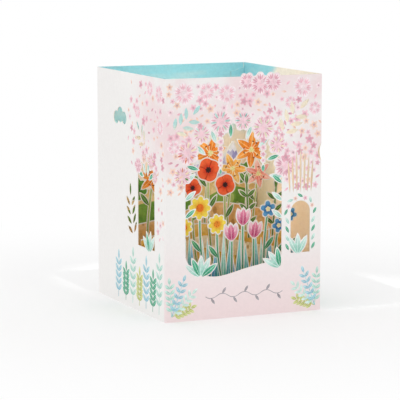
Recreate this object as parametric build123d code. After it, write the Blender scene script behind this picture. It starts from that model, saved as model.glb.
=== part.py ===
from build123d import *
from math import cos, pi, radians, sin
import os

# A pop up card that stands open: a four-panel sleeve of white card with a laser-cut front and left side,
# and four die-cut layers glued across its inside. Origin at the middle of the base, front towards -Y.

# Sleeve, in millimetres
CARD_WIDTH = 127.0  # front and back panels
CARD_DEPTH = 135.0  # side panels
CARD_HEIGHT = 178.0
CARD_THICKNESS = 0.4
FOLD_RADIUS = 0.5  # inside radius of a scored fold
FLAP_WIDTH = 12.0  # glue flap inside the back panel, along the right fold
FLAP_INSET = 4.0  # the flap stops short of the sleeve's top and bottom edges
SEAM_GAP = 0.3  # open line where the back panel's free edge meets the fold

# Garden window in the front panel
WINDOW_LEFT = 16.0  # from the left fold
WINDOW_RIGHT = 33.0  # from the right fold
WINDOW_HEAD = 34.0  # from the top edge to the crown of the arch
WINDOW_RISE = 36.0
SILL_HEIGHT = 34.0
SILL_CORNER = 13.0  # the ground line climbs by this at its left end
SILL_ROLL = 2.5  # and rolls up and down by this

# Niche and reeds between the window and the right fold
NICHE_WIDTH = 16.0
NICHE_INSET = 9.5  # from the right fold
NICHE_SILL = 45.0
NICHE_CROWN = 84.0
REED_COUNT = 7
REED_PITCH = 2.9
REED_WIDTH = 1.7
REED_SPREAD = 1.2  # degrees between one reed and the next
REED_STEP = 3.0  # each reed is this much shorter than the one nearer the middle
REED_GAP = 6.0  # card left between the niche and the reeds
REED_HEAD = 54.0  # from the top edge to the reed tips
CORNER_SLIT_LENGTH = 14.0  # slit that runs round the right fold
CORNER_SLIT_WIDTH = 6.4
CORNER_SLIT_DROP = 58.0  # from the top edge to the slit's middle
CREST_PLACE = 76.0  # from the left fold to the middle of three blossoms on the top edge
CREST_PITCH = 10.5
CREST_RISE = 3.2  # they stand this far above the edge

# Openings in the left panel
SIDE_ARCH_INSET = 20.0  # from the front fold
SIDE_ARCH_WIDTH = 32.0
SIDE_ARCH_SILL = 50.0
SIDE_ARCH_HEAD = 62.0  # from the top edge to the crown of the arch
SIDE_ARCH_RISE = 15.0
CLOUD_PLACE = 87.0  # from the front fold to the cloud's middle
CLOUD_DROP = 35.0  # from the top edge
CLOUD_PUFF = 6.0  # radius of the middle puff

# Laser-cut blossoms and leaves
LEAF_FACETS = 4  # straight cuts along each side of a leaf
PETAL_FACETS = 4  # straight cuts round each petal
SPRAY_LEAF_LENGTH = 9.0
SPRAY_LEAF_WIDTH = 3.2
GARLAND_BLOSSOM = 10.0  # radius of the large blossoms that frame the window
SIDE_BLOSSOM = 7.0
SMALL_BLOSSOM = 0.8  # the small blossoms' share of the large ones' radius
BLOSSOM_RISE = 0.3  # a blossom's middle lies this share of its radius beyond the arch
GARLAND_LEAF_LENGTH = 12.0
GARLAND_LEAF_WIDTH = 4.2
SILL_LEAF_LENGTH = 17.0  # leaves that grow up from the ground line
SILL_LEAF_WIDTH = 5.5
VINE_LEAVES = 3  # up each straight side of the window
VINE_PITCH = 13.0
STRAND_BEAD = 3.4  # radius of the top floret of a hanging strand
STRAND_STEM = 1.2

# Inner layers
LAYER_THICKNESS = 0.35
LAYER_LIFT = 1.5  # the layers' lower edges clear the table
TAB_LENGTH = 9.0
TAB_HEIGHT = 24.0
TAB_CHAMFER = 3.0  # bevelled corners at the free end of a tab
GLUE_FILM = 0.05
FRONT_BAY = 20.0  # front panel to the flower layer
BACK_BAY = 27.0  # hill layer to the back panel
STEM_WIDTH = 2.4
BLADE_PITCH = 4.0
BLADE_WIDTH = 6.4
BLADE_HEIGHT = 57.0  # mean height of the grass tips
BLADE_FOOT = 24.0
DAISY_RADIUS = 9.5
TULIP_LENGTH = 15.0
TULIP_WIDTH = 7.0
BELL_RADIUS = 7.0
POPPY_RADIUS = 10.0
STALK_LEAF_LENGTH = 14.0
STALK_LEAF_WIDTH = 4.6
LILY_PETAL_LENGTH = 19.0
LILY_PETAL_WIDTH = 7.6
LILY_HEART = 3.2  # each petal starts this far behind the flower's middle
PEAK_HEIGHT = 118.0  # from the table to the higher peak's tip
PEAK_WIDTH = 54.0  # at its foot
PEAK_TIP = 1.5
BUSH_RADIUS = 10.0

outer_fold = FOLD_RADIUS + CARD_THICKNESS
cut_reach = 2 * outer_fold  # how far a cut runs past each side of its panel's face
half_width = CARD_WIDTH / 2
half_depth = CARD_DEPTH / 2

# Panel frames: the first axis runs along the panel from its front or left fold, the second runs up.
front_panel = Plane(origin=(-half_width, -half_depth, 0), x_dir=(1, 0, 0), z_dir=(0, -1, 0))
left_panel = Plane(origin=(-half_width, -half_depth, 0), x_dir=(0, 1, 0), z_dir=(1, 0, 0))
right_panel = Plane(origin=(half_width, -half_depth, 0), x_dir=(0, 1, 0), z_dir=(1, 0, 0))


def toward(angle, length):
    return Vector(length * cos(radians(angle)), length * sin(radians(angle)))


def polygon(points):
    return Face(Wire(Polyline(*points, close=True).edges()))


def leaf(base, angle, length, width):
    """Pointed leaf, facets along two bows from its base to its tip."""
    base = Vector(*base)
    points = []
    for side in (1, -1):
        for step in range(LEAF_FACETS):
            share = (step if side == 1 else LEAF_FACETS - step) / LEAF_FACETS
            bow = side * width / 2 * sin(pi * share) ** 0.8
            points.append(base + toward(angle, share * length) + toward(angle + 90, bow))
    return polygon(points)


def blossom(centre, radius, petals, turn=0.0, notch=0.2):
    """Flower head whose rim swells at each petal and dips by notch between two."""
    centre = Vector(*centre)
    points = []
    for step in range(petals * PETAL_FACETS):
        swell = sin(pi * step / PETAL_FACETS) ** 2
        reach = radius * (1 - notch * (1 - swell) ** 2)
        points.append(centre + toward(turn + 360 * step / (petals * PETAL_FACETS), reach))
    return polygon(points)


def floret(centre, radius, turn):
    """Small five-pointed flower with straight edges."""
    centre = Vector(*centre)
    return polygon([centre + toward(turn + 36 * k, radius * (1.0 if k % 2 else 0.72)) for k in range(10)])


def bough(foot, head, bend, foot_width, head_width):
    """Stem that tapers from foot to head and bows out to its left by bend."""
    foot = Vector(*foot)
    head = Vector(*head)
    along = head - foot
    left = Vector(-along.Y, along.X).normalized()
    middle = (foot + head) / 2 + left * bend
    half_middle = (foot_width + head_width) / 4
    left_side = (foot + left * foot_width / 2, middle + left * half_middle, head + left * head_width / 2)
    right_side = (head - left * head_width / 2, middle - left * half_middle, foot - left * foot_width / 2)
    if bend == 0:
        return polygon([left_side[0], left_side[2], right_side[0], right_side[2]])
    edges = [
        ThreePointArc(*left_side),
        Line(left_side[2], right_side[0]),
        ThreePointArc(*right_side),
        Line(right_side[2], left_side[0]),
    ]
    return Face(Wire(edges))


def fan(base, angles, length, width):
    """Leaves that spread from one point."""
    return [leaf(base, angle, length, width) for angle in angles]


def spray(root, angle, pairs, curl, size=1.0):
    """Leaf-shaped slits in pairs along a curling stem, with one at its end."""
    point = Vector(*root)
    length = SPRAY_LEAF_LENGTH * size
    width = SPRAY_LEAF_WIDTH * size
    slits = []
    for pair in range(pairs):
        for side in (-1, 1):
            base = point + toward(angle + side * 90, width * 0.35)
            slits.append(leaf(base, angle + side * 48, length, width))
        point = point + toward(angle, width * 1.9)
        angle += curl
    slits.append(leaf(point, angle, length, width))
    return slits


def arch(left, right, crown, rise, ground):
    """Opening with a round head over a ground line, which runs from left to right."""
    spring = crown - rise
    edges = [
        ground,
        Line(ground @ 1, (right, spring)),
        ThreePointArc((right, spring), ((left + right) / 2, crown), (left, spring)),
        Line((left, spring), ground @ 0),
    ]
    return Face(Wire(edges))


def arch_point(span, angle, beyond):
    """Point at an angle round an arch (left, right, crown, rise), a little beyond its line."""
    left, right, crown, rise = span
    arch_radius = ((right - left) ** 2 / 4 + rise**2) / (2 * rise)
    return Vector((left + right) / 2, crown - arch_radius) + toward(angle, arch_radius + beyond)


def garland(span, angles, radius):
    """Blossoms on the line of an arch, large and small in turn, with a leaf that hangs inwards beside each."""
    pieces = []
    for place, angle in enumerate(angles):
        size = radius * (1.0 if place % 2 else SMALL_BLOSSOM)
        centre = arch_point(span, angle, size * BLOSSOM_RISE)
        pieces.append(blossom(centre, size, 6, turn=angle + 17 * place))
        pieces.append(leaf(arch_point(span, angle - 11, 1), angle + 165, GARLAND_LEAF_LENGTH, GARLAND_LEAF_WIDTH))
    return pieces


def strand(span, angle, count):
    """String of florets that hangs from a large garland blossom and shrinks towards its end."""
    top = arch_point(span, angle, GARLAND_BLOSSOM * BLOSSOM_RISE)
    x = top.X
    z = top.Y - 0.9 * GARLAND_BLOSSOM
    size = STRAND_BEAD
    pieces = []
    for bead in range(count):
        pieces.append(floret((x, z), size, 90 + 36 * bead))
        drop = size * 1.65
        pieces.append(bough((x, z), (x, z - drop), 0, STRAND_STEM, STRAND_STEM))
        z -= drop
        size *= 0.9
    pieces.append(leaf((x, z + size), -90, 3 * size, 1.4 * size))
    return pieces


# Front panel cuts
window_right = CARD_WIDTH - WINDOW_RIGHT
window_width = window_right - WINDOW_LEFT
window_crown = CARD_HEIGHT - WINDOW_HEAD
sill = Spline(
    (WINDOW_LEFT, SILL_HEIGHT + SILL_CORNER),
    (WINDOW_LEFT + 0.09 * window_width, SILL_HEIGHT + SILL_ROLL),
    (WINDOW_LEFT + 0.32 * window_width, SILL_HEIGHT - SILL_ROLL),
    (WINDOW_LEFT + 0.65 * window_width, SILL_HEIGHT + SILL_ROLL),
    (window_right, SILL_HEIGHT + 3 * SILL_ROLL),
)
window_span = (WINDOW_LEFT, window_right, window_crown, WINDOW_RISE)
window = Sketch() + arch(*window_span, sill)
window_growth = garland(window_span, (177, 153, 129, 105, 80, 56, 32, 8), GARLAND_BLOSSOM)
window_spring = window_crown - WINDOW_RISE
for rung in range(VINE_LEAVES):
    height = window_spring - VINE_PITCH * (rung + 0.5)
    window_growth.append(leaf((WINDOW_LEFT - 1, height), 38, GARLAND_LEAF_LENGTH, GARLAND_LEAF_WIDTH))
    window_growth.append(leaf((window_right + 1, height - 4), 142, GARLAND_LEAF_LENGTH, GARLAND_LEAF_WIDTH))
window_growth += strand(window_span, 105, 6)
window_growth += strand(window_span, 56, 4)
window_growth += fan(
    (WINDOW_LEFT + 12, SILL_HEIGHT - SILL_ROLL), (140, 115, 88, 62, 36), SILL_LEAF_LENGTH, SILL_LEAF_WIDTH
)
window_growth += fan((window_right - 1, SILL_HEIGHT), (150, 126, 100), SILL_LEAF_LENGTH, SILL_LEAF_WIDTH)
window -= window_growth

niche_right = CARD_WIDTH - NICHE_INSET
niche_left = niche_right - NICHE_WIDTH
niche_middle = (niche_left + niche_right) / 2
niche_ground = Line((niche_left, NICHE_SILL), (niche_right, NICHE_SILL))
niche = Sketch() + arch(niche_left, niche_right, NICHE_CROWN, NICHE_WIDTH / 2, niche_ground)
niche -= fan((niche_middle - 2, NICHE_SILL - 2), (118, 90, 62), SILL_LEAF_LENGTH, SILL_LEAF_WIDTH)

reeds = []
reed_foot = NICHE_CROWN + REED_GAP
reed_length = CARD_HEIGHT - REED_HEAD - reed_foot
for reed in range(REED_COUNT):
    place = reed - (REED_COUNT - 1) / 2
    foot = (niche_middle + place * REED_PITCH, reed_foot)
    reeds.append(leaf(foot, 90 - REED_SPREAD * place, reed_length - REED_STEP * abs(place), REED_WIDTH))

slit_foot = CARD_HEIGHT - CORNER_SLIT_DROP - CORNER_SLIT_LENGTH / 2
corner_slit = leaf((CARD_WIDTH, slit_foot), 90, CORNER_SLIT_LENGTH, CORNER_SLIT_WIDTH)
corner_slit_side = leaf((0, slit_foot), 90, CORNER_SLIT_LENGTH, CORNER_SLIT_WIDTH)

front_sprays = spray((8, CARD_HEIGHT - 38), 34, 3, 5)
front_sprays += spray((CARD_WIDTH - 31, CARD_HEIGHT - 42), 58, 3, -5, 1.15)

crest = []
for place, size in ((-1, 0.7), (0, 0.9), (1, 0.8)):
    radius = size * GARLAND_BLOSSOM
    centre = (CREST_PLACE + place * CREST_PITCH, CARD_HEIGHT + CREST_RISE - radius)
    crest.append(blossom(centre, radius, 6, turn=25 * place))

# Left panel cuts; the right panel is plain but for the slit round its front fold
side_right = SIDE_ARCH_INSET + SIDE_ARCH_WIDTH
side_middle = (SIDE_ARCH_INSET + side_right) / 2
side_crown = CARD_HEIGHT - SIDE_ARCH_HEAD
side_ground = Line((SIDE_ARCH_INSET, SIDE_ARCH_SILL), (side_right, SIDE_ARCH_SILL))
side_span = (SIDE_ARCH_INSET, side_right, side_crown, SIDE_ARCH_RISE)
side_opening = Sketch() + arch(*side_span, side_ground)
side_growth = garland(side_span, (165, 122, 78, 34), SIDE_BLOSSOM)
side_growth += fan((side_middle - 6, SIDE_ARCH_SILL - 3), (125, 98, 70, 42), SILL_LEAF_LENGTH, SILL_LEAF_WIDTH)
side_opening -= side_growth
cloud_height = CARD_HEIGHT - CLOUD_DROP
cloud = Sketch()
for shift, rise, size in ((-8, 0, 0.8), (0, 2, 1.0), (8, -0.5, 0.85)):
    cloud += Pos(CLOUD_PLACE + shift, cloud_height + rise) * Circle(CLOUD_PUFF * size)
side_sprays = spray((side_right + 9, SIDE_ARCH_SILL + 8), 72, 4, 4, 1.15)
side_sprays += spray((side_right - 12, CARD_HEIGHT - 50), 40, 2, 6)

# Sleeve: the folded wall, its cuts and its glued seam
sleeve_plan = RectangleRounded(CARD_WIDTH, CARD_DEPTH, outer_fold)
sleeve_plan -= RectangleRounded(
    CARD_WIDTH - 2 * CARD_THICKNESS, CARD_DEPTH - 2 * CARD_THICKNESS, FOLD_RADIUS
)
sleeve = extrude(sleeve_plan, amount=CARD_HEIGHT)

cuts = []
for panel, shapes in (
    (front_panel, [window, niche, corner_slit] + reeds + front_sprays),
    (left_panel, [side_opening, cloud] + side_sprays),
    (right_panel, [corner_slit_side]),
):
    for shape in shapes:
        for face in shape.faces():
            cuts.append(extrude(panel * face, amount=cut_reach, both=True))
sleeve -= cuts
sleeve += [extrude(front_panel * head, amount=-CARD_THICKNESS) for head in crest]

flap_height = CARD_HEIGHT - 2 * FLAP_INSET
flap_back = half_depth - CARD_THICKNESS
flap_right = half_width - CARD_THICKNESS
sleeve += Pos(flap_right - FLAP_WIDTH / 2, flap_back - CARD_THICKNESS / 2, CARD_HEIGHT / 2) * Box(
    FLAP_WIDTH, CARD_THICKNESS, flap_height
)
seam_place = half_width - outer_fold - SEAM_GAP / 2
sleeve -= Pos(seam_place, half_depth - CARD_THICKNESS / 2, CARD_HEIGHT / 2) * Box(
    SEAM_GAP, CARD_THICKNESS, CARD_HEIGHT
)

# Inner layers: each is a strip that spans the sleeve, with both ends folded back and glued to the side panels.
layer_half = half_width - CARD_THICKNESS - GLUE_FILM
layer_fold = FOLD_RADIUS + LAYER_THICKNESS
layer_pitch = (CARD_DEPTH - FRONT_BAY - BACK_BAY) / 3


def tray(half, depth, radius):
    """Plan of a strip with both ends folded back, filled in."""
    folded = FilletPolyline((-half, depth), (-half, 0), (half, 0), (half, depth), radius=radius)
    return make_face(folded.edges() + [Line((half, depth), (-half, depth))])


def layer(setback, outline):
    """Die-cut sheet between two folded tabs, at a distance behind the front panel."""
    depth = setback - half_depth
    sheet_size = Rectangle(2 * (layer_half - layer_fold), CARD_HEIGHT - LAYER_LIFT)
    sheet = outline & Pos(0, (CARD_HEIGHT + LAYER_LIFT) / 2) * sheet_size
    front = Plane(origin=(0, depth, 0), x_dir=(1, 0, 0), z_dir=(0, -1, 0))
    plan = tray(layer_half, TAB_LENGTH, layer_fold)
    plan -= Pos(0, LAYER_THICKNESS) * tray(layer_half - LAYER_THICKNESS, TAB_LENGTH, FOLD_RADIUS)
    strip = extrude(plan, amount=TAB_HEIGHT)
    strip = chamfer(strip.edges().filter_by(Axis.X).group_by(Axis.Y)[-1], TAB_CHAMFER)
    die_cut = extrude(front * sheet, amount=LAYER_THICKNESS, dir=(0, 1, 0))
    return die_cut + Pos(0, depth, LAYER_LIFT) * strip


def ground(heights):
    """Strip of ground from wall to wall under a rolling line."""
    step = 2 * half_width / (len(heights) - 1)
    top = [(-half_width + place * step, height) for place, height in enumerate(heights)]
    return Face(Wire([Spline(*top), *Polyline(top[-1], (half_width, 0), (-half_width, 0), top[0]).edges()]))


def stalk(foot, head, bend, leaf_share, leaf_angle):
    """Flower stem with one leaf part of the way up."""
    foot = Vector(*foot)
    head = Vector(*head)
    rise = head - foot
    bow = Vector(-rise.Y, rise.X).normalized() * bend * 4 * leaf_share * (1 - leaf_share)
    base = foot + rise * leaf_share + bow
    return [
        bough(foot, head, bend, STEM_WIDTH, STEM_WIDTH),
        leaf(base, leaf_angle, STALK_LEAF_LENGTH, STALK_LEAF_WIDTH),
    ]


def sprig(foot, head, pairs, leaf_length, leaf_width):
    """Stem with leaves in pairs and one at its tip."""
    foot = Vector(*foot)
    head = Vector(*head)
    pieces = [bough(foot, head, 0, STEM_WIDTH, STEM_WIDTH)]
    for pair in range(pairs):
        base = foot + (head - foot) * ((pair + 1) / (pairs + 1))
        pieces += fan(base, (40, 140), leaf_length, leaf_width)
    pieces.append(leaf(head - Vector(0, 1), 90, leaf_length, leaf_width))
    return pieces


def lily(centre, size, turn):
    """Flower head of six pointed petals that cross in its middle."""
    petals = []
    for petal in range(6):
        angle = turn + 60 * petal
        base = Vector(*centre) - toward(angle, LILY_HEART * size)
        petals.append(leaf(base, angle, LILY_PETAL_LENGTH * size, LILY_PETAL_WIDTH * size))
    return petals


# Flower layer: grass blades, daisies, tulips and bell flowers
flower_outline = [ground((30, 27, 31, 28, 31, 29))]
blade_count = int(2 * (layer_half - layer_fold - BLADE_WIDTH) / BLADE_PITCH)
for blade in range(blade_count):
    place = (blade - (blade_count - 1) / 2) * BLADE_PITCH
    tip = (place + 2.5 * sin(2.3 * blade), BLADE_HEIGHT + 4 * sin(1.9 * blade) + 3 * sin(0.7 * blade))
    flower_outline.append(bough((place, BLADE_FOOT), tip, 0, BLADE_WIDTH, 0.4))
for x, z, size in ((-27, 80, 1.0), (-13, 67, 0.85), (-40, 66, 0.8)):
    flower_outline += stalk((x + 4, BLADE_FOOT), (x, z), 1.5, 0.4, 128)
    flower_outline.append(blossom((x, z), DAISY_RADIUS * size, 8, turn=x))
for x, z, turn in ((-1, 53, 4), (8, 64, -3), (17, 54, -8)):
    flower_outline.append(bough((x, BLADE_FOOT), (x, z + 2), 0, STEM_WIDTH, STEM_WIDTH))
    flower_outline += fan((x, z), (70 + turn, 90 + turn, 110 + turn), TULIP_LENGTH, TULIP_WIDTH)
for x, z, size in ((29, 76, 1.0), (38, 63, 0.9), (48, 71, 0.85)):
    flower_outline += stalk((x - 3, BLADE_FOOT), (x, z), 1.5, 0.4, 52)
    flower_outline.append(blossom((x, z), BELL_RADIUS * size, 5, turn=2 * x, notch=0.3))

# Meadow layer: poppies and leafy sprigs on a rolling meadow
meadow_outline = [ground((54, 60, 64, 58, 55, 62))]
for x, z, size in ((-7, 104, 1.0), (7, 92, 0.9), (-20, 91, 0.8)):
    meadow_outline += stalk((x + 5, TAB_HEIGHT), (x, z), 2, 0.62, 58)
    meadow_outline.append(blossom((x, z), POPPY_RADIUS * size, 4, turn=3 * x, notch=0.12))
for x, top, lean in ((-42, 90, 2), (27, 92, -2), (47, 88, 3)):
    meadow_outline += sprig((x, 50), (x + lean, top), 3, 10, 4)

# Lily layer: tall lilies over a sandy bank
lily_outline = [ground((60, 64, 70, 75, 71, 65))]
lily_heads = [(-40, 96, 0.85), (-16, 107, 0.95), (8, 113, 0.95), (27, 100, 0.9), (43, 114, 1.0), (49, 95, 0.8)]
for x, z, size in lily_heads:
    lily_outline += stalk((x - 5, TAB_HEIGHT), (x, z), 2, 0.7, 125)
    lily_outline += lily((x, z), size, turn=2 * x)

# Hill layer: rolling hills with bushes in front of two peaks
hill_heights = (70, 84, 80, 86, 92, 82)
hill_outline = [ground(hill_heights)]
for x, lean, size in ((12, -2, 0.9), (34, 7, 1.0)):
    peak_foot = (x, min(hill_heights))
    peak_tip = (x + lean, PEAK_HEIGHT * size)
    hill_outline.append(bough(peak_foot, peak_tip, 0, PEAK_WIDTH * size, PEAK_TIP))
for x, z, size in ((-42, 84, 1.0), (-18, 82, 0.8), (5, 86, 0.9), (52, 92, 1.0)):
    hill_outline.append(blossom((x, z), BUSH_RADIUS * size, 7, turn=x))

nodes = {
    "card_sleeve": sleeve,
    "flower_layer": layer(FRONT_BAY, Sketch() + flower_outline),
    "meadow_layer": layer(FRONT_BAY + layer_pitch, Sketch() + meadow_outline),
    "lily_layer": layer(FRONT_BAY + 2 * layer_pitch, Sketch() + lily_outline),
    "hill_layer": layer(FRONT_BAY + 3 * layer_pitch, Sketch() + hill_outline),
}

os.makedirs("parts", exist_ok=True)
for name, solid in nodes.items():
    export_step(solid, f"parts/{name}.step")
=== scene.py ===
import bisect
import math
import random

import bpy
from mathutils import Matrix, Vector
from mathutils.geometry import delaunay_2d_cdt


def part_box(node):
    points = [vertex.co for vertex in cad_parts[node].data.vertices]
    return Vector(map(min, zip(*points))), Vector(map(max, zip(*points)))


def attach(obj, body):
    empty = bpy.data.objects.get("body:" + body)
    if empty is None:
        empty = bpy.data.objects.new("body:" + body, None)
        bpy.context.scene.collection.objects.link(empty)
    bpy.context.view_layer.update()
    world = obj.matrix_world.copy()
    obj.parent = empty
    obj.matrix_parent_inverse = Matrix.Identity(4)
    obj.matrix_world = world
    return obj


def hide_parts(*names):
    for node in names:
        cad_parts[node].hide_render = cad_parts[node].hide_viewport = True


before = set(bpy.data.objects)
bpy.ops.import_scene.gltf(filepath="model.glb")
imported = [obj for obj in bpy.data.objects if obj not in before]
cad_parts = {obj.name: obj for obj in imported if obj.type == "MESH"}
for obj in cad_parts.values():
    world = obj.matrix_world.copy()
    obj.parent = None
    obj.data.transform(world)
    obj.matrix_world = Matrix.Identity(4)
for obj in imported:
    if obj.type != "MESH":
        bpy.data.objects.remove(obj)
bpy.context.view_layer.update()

# Card sleeve, stock: heavy smooth white card, printed on both faces with matt inks before it is cut. Each
# ink is a little mottled by the card under it, the card's own fibres show as a fine grain, and the laser
# leaves the cut edges a little toasted.
MM = 0.001


def colour(code):
    """Linear colour of a printer's six-figure colour code."""
    shares = [int(code[k : k + 2], 16) / 255 for k in (0, 2, 4)]
    return (*(s / 12.92 if s <= 0.04045 else ((s + 0.055) / 1.055) ** 2.4 for s in shares), 1.0)


def put(tree, kind, feeds=(), **settings):
    """Adds a node to a finish; feeds maps its sockets to values or to other nodes' outputs."""
    made = tree.nodes.new(kind)
    for setting, value in settings.items():
        setattr(made, setting, value)
    for socket, value in dict(feeds).items():
        if isinstance(value, bpy.types.NodeSocket):
            tree.links.new(value, made.inputs[socket])
        else:
            made.inputs[socket].default_value = value
    return made


def blend(tree, share, first, second):
    """Colour that goes from the first to the second with the share."""
    return put(tree, "ShaderNodeMix", {0: share, 6: first, 7: second}, data_type="RGBA").outputs[2]


def between(tree, value, low, high, start=0.0, end=1.0):
    """Runs smoothly from start to end as the value goes from low to high."""
    feeds = {"Value": value, "From Min": low, "From Max": high, "To Min": start, "To Max": end}
    return put(tree, "ShaderNodeMapRange", feeds, interpolation_type="SMOOTHSTEP").outputs["Result"]


def reckon(tree, operation, first, second=0.0):
    return put(tree, "ShaderNodeMath", {0: first, 1: second}, operation=operation).outputs[0]


def card_place(tree):
    """Place in metres from the middle of the card's foot."""
    return put(tree, "ShaderNodeTexCoord").outputs["Object"]


def cloudiness(tree, scale, detail=3.0, stretch=(1.0, 1.0, 1.0)):
    """Soft uneven pattern fixed to the card; scale counts its patches per metre."""
    mapped = put(tree, "ShaderNodeMapping", {"Vector": card_place(tree), "Scale": stretch}).outputs["Vector"]
    feeds = {"Vector": mapped, "Scale": scale, "Detail": detail, "Roughness": 0.55}
    return put(tree, "ShaderNodeTexNoise", feeds).outputs["Fac"]


def start_finish(name):
    material = bpy.data.materials.new(name)
    material.use_nodes = True
    return material, material.node_tree


def end_finish(tree, shade):
    """Gives a finish its colour and the card's fibre grain."""
    fibre_scale, grain, grain_depth = 1600, 0.12, 0.06 * MM
    smoothest, roughest = 0.62, 0.8
    shader = tree.nodes["Principled BSDF"]
    fibres = cloudiness(tree, fibre_scale, 5.0)
    tree.links.new(shade, shader.inputs["Base Color"])
    tree.links.new(between(tree, fibres, 0.3, 0.7, smoothest, roughest), shader.inputs["Roughness"])
    shader.inputs["Specular IOR Level"].default_value = 0.3
    bump = put(tree, "ShaderNodeBump", {"Strength": grain, "Distance": grain_depth, "Height": fibres})
    tree.links.new(bump.outputs["Normal"], shader.inputs["Normal"])


def mottled(tree, shade, depth):
    """The shade with paler and deeper patches, as ink lies on card."""
    patches = between(tree, cloudiness(tree, 420, 4.0), 0.32, 0.68, 1.0 - depth, 1.0 + depth)
    feeds = {"Saturation": 1.0, "Value": patches, "Color": shade}
    return put(tree, "ShaderNodeHueSaturation", feeds).outputs["Color"]


def start_white_card():
    """Bare white card, with a pale pink wash low on the front and over the blossom."""
    material, tree = start_finish("white_card")
    parts = put(tree, "ShaderNodeSeparateXYZ", {0: card_place(tree)}).outputs
    patches = between(tree, cloudiness(tree, 26, 4.0), 0.3, 0.62)
    on_front = between(tree, parts["Y"], -64 * MM, -67 * MM)
    low_wash = reckon(tree, "MULTIPLY", on_front, between(tree, parts["Z"], 74 * MM, 4 * MM, 0.0, 0.9))
    toward_front = between(tree, parts["Y"], 5 * MM, -60 * MM)
    blossom_wash = reckon(tree, "MULTIPLY", between(tree, parts["Z"], 96 * MM, 126 * MM), toward_front)
    wash = reckon(tree, "MAXIMUM", low_wash, reckon(tree, "MULTIPLY", blossom_wash, patches))
    shade = blend(tree, wash, colour("F5F3F1"), colour("F3DFE0"))
    end_finish(tree, mottled(tree, shade, 0.012))
    return material


def start_inside_print():
    """Inside of the sleeve: peach and tan low down and towards the front, turquoise sky above and behind; the
    peach is print, and its deepening to tan low down is painted shade inside the tube.
    """
    material, tree = start_finish("inside_print")
    parts = put(tree, "ShaderNodeSeparateXYZ", {0: card_place(tree)}).outputs
    ragged = reckon(tree, "MULTIPLY", reckon(tree, "SUBTRACT", cloudiness(tree, 30, 4.0), 0.5), 20 * MM)
    height = reckon(tree, "ADD", parts["Z"], ragged)
    level = reckon(tree, "ADD", height, reckon(tree, "MULTIPLY", parts["Y"], 0.96))
    # Peach print with painted shade: pale cream high up, going to deeper tan low down, where less light
    # reaches into the tube.
    low_tint_and_painted_shade = blend(tree, between(tree, height, 60 * MM, 150 * MM), colour("FFE2BC"), colour("FDF4E4"))
    sky = blend(tree, between(tree, height, 136 * MM, 176 * MM), colour("B4E6EC"), colour("9CE2EE"))
    shade = blend(tree, between(tree, level, 182 * MM, 196 * MM), low_tint_and_painted_shade, sky)
    brushed = between(tree, cloudiness(tree, 70, 5.0, (0.35, 0.35, 1.6)), 0.4, 0.75, 0.0, 0.25)
    end_finish(tree, mottled(tree, blend(tree, brushed, shade, colour("FCF5EA")), 0.03))
    return material


def start_cut_edge(name, first, second):
    """Laser-cut edge, a little toasted where the beam went through."""
    material, tree = start_finish(name)
    end_finish(tree, blend(tree, cloudiness(tree, 240), colour(first), colour(second)))
    return material


white_card = start_white_card()
inside_print = start_inside_print()
cut_edge = start_cut_edge("cut_edge", "F6EFE6", "E9DCC8")


# Card sleeve, the sheet: one flat sheet, cut by laser along outlines drawn in millimetres. The back, left,
# front and right panels lie side by side with a glue flap at the end. The seam leaves a hair of a gap at the
# right-hand back fold, and three blossoms stand above the top edge of the front.
sleeve_low, sleeve_high = (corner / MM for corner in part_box("card_sleeve"))
panel_width = sleeve_high.x - sleeve_low.x
panel_depth = sleeve_high.y - sleeve_low.y
crest_rise = 3.2  # blossoms that stand above the front's top edge
panel_height = sleeve_high.z - sleeve_low.z - crest_rise
card_thickness = 0.4
sleeve_fold = 0.9  # outside radius of a scored fold
seam_gap = 0.3
flap_width = 11.5
flap_inset = 4.0
flap_bevel = 3.0
front_fold = panel_width + panel_depth
right_fold = front_fold + panel_width
back_fold = right_fold + panel_depth
flap_start = back_fold + sleeve_fold
plain_place = (0.5, 0.5)  # place of any point in a shape whose ink runs no way in particular


def toward(point, angle, length):
    turn = math.radians(angle)
    return (point[0] + length * math.cos(turn), point[1] + length * math.sin(turn))


def plain(outline):
    return outline, lambda point: plain_place


def rectangle(left, low, right, high):
    return plain([(left, low), (right, low), (right, high), (left, high)])


def blossom(centre, radius, petals, turn=0.0, notch=0.2, facets=9):
    """Flower head whose rim swells at each petal and dips by notch between two."""
    outline = []
    for step in range(petals * facets):
        swell = math.sin(math.pi * step / facets) ** 2
        reach = radius * (1 - notch * (1 - swell) ** 2)
        outline.append(toward(centre, turn + 360 * step / (petals * facets), reach))

    def local(point):
        dx, dz = point[0] - centre[0], point[1] - centre[1]
        angle = math.degrees(math.atan2(dz, dx)) - turn
        return math.hypot(dx, dz) / radius, angle % 360 * petals / 360

    return outline, local


def set_out(name, data):
    """Puts a new thing into the scene."""
    made = bpy.data.objects.new(name, data)
    bpy.context.scene.collection.objects.link(made)
    return made


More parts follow.
